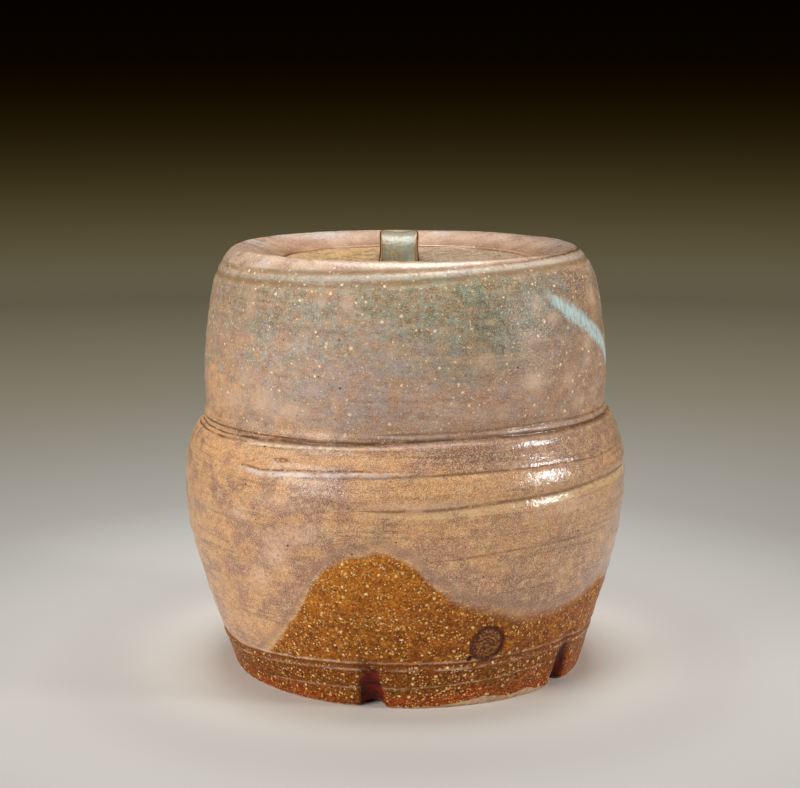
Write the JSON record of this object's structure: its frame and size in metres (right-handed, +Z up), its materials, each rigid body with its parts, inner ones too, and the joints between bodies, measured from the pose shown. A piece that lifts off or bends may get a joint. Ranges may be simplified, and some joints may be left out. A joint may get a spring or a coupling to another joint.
{
  "type": "fresh water jar",
  "caption": "Round thrown stoneware water jar with a waisted wall, cut foot, inturned rim and a sunk clay lid with a strap knob.",
  "frame": {"origin": "middle of the jar on the surface it stands on", "axes": "+Z up along the wheel axis, -Y out of the pictured front, +X to the viewer's right"},
  "size_m": [0.1846, 0.1854, 0.1812],
  "materials": {
    "jar_glaze": "mottled ash and feldspar glaze, wet gloss",
    "lid_clay": "thin ochre glaze over coarse clay, satin",
    "knob_glaze": "grey-green glaze broken to iron brown at the edges, gloss"
  },
  "bodies": {
    "jar": {"jar": "jar_glaze"},
    "lid": {"lid": "lid_clay", "lid_knob": "knob_glaze"}
  },
  "joints": [
    {"name": "lid_lift", "type": "slide", "parent": "jar", "child": "lid", "axis": [0, 0, 1], "range_m": [0, 0.1]}
  ]
}
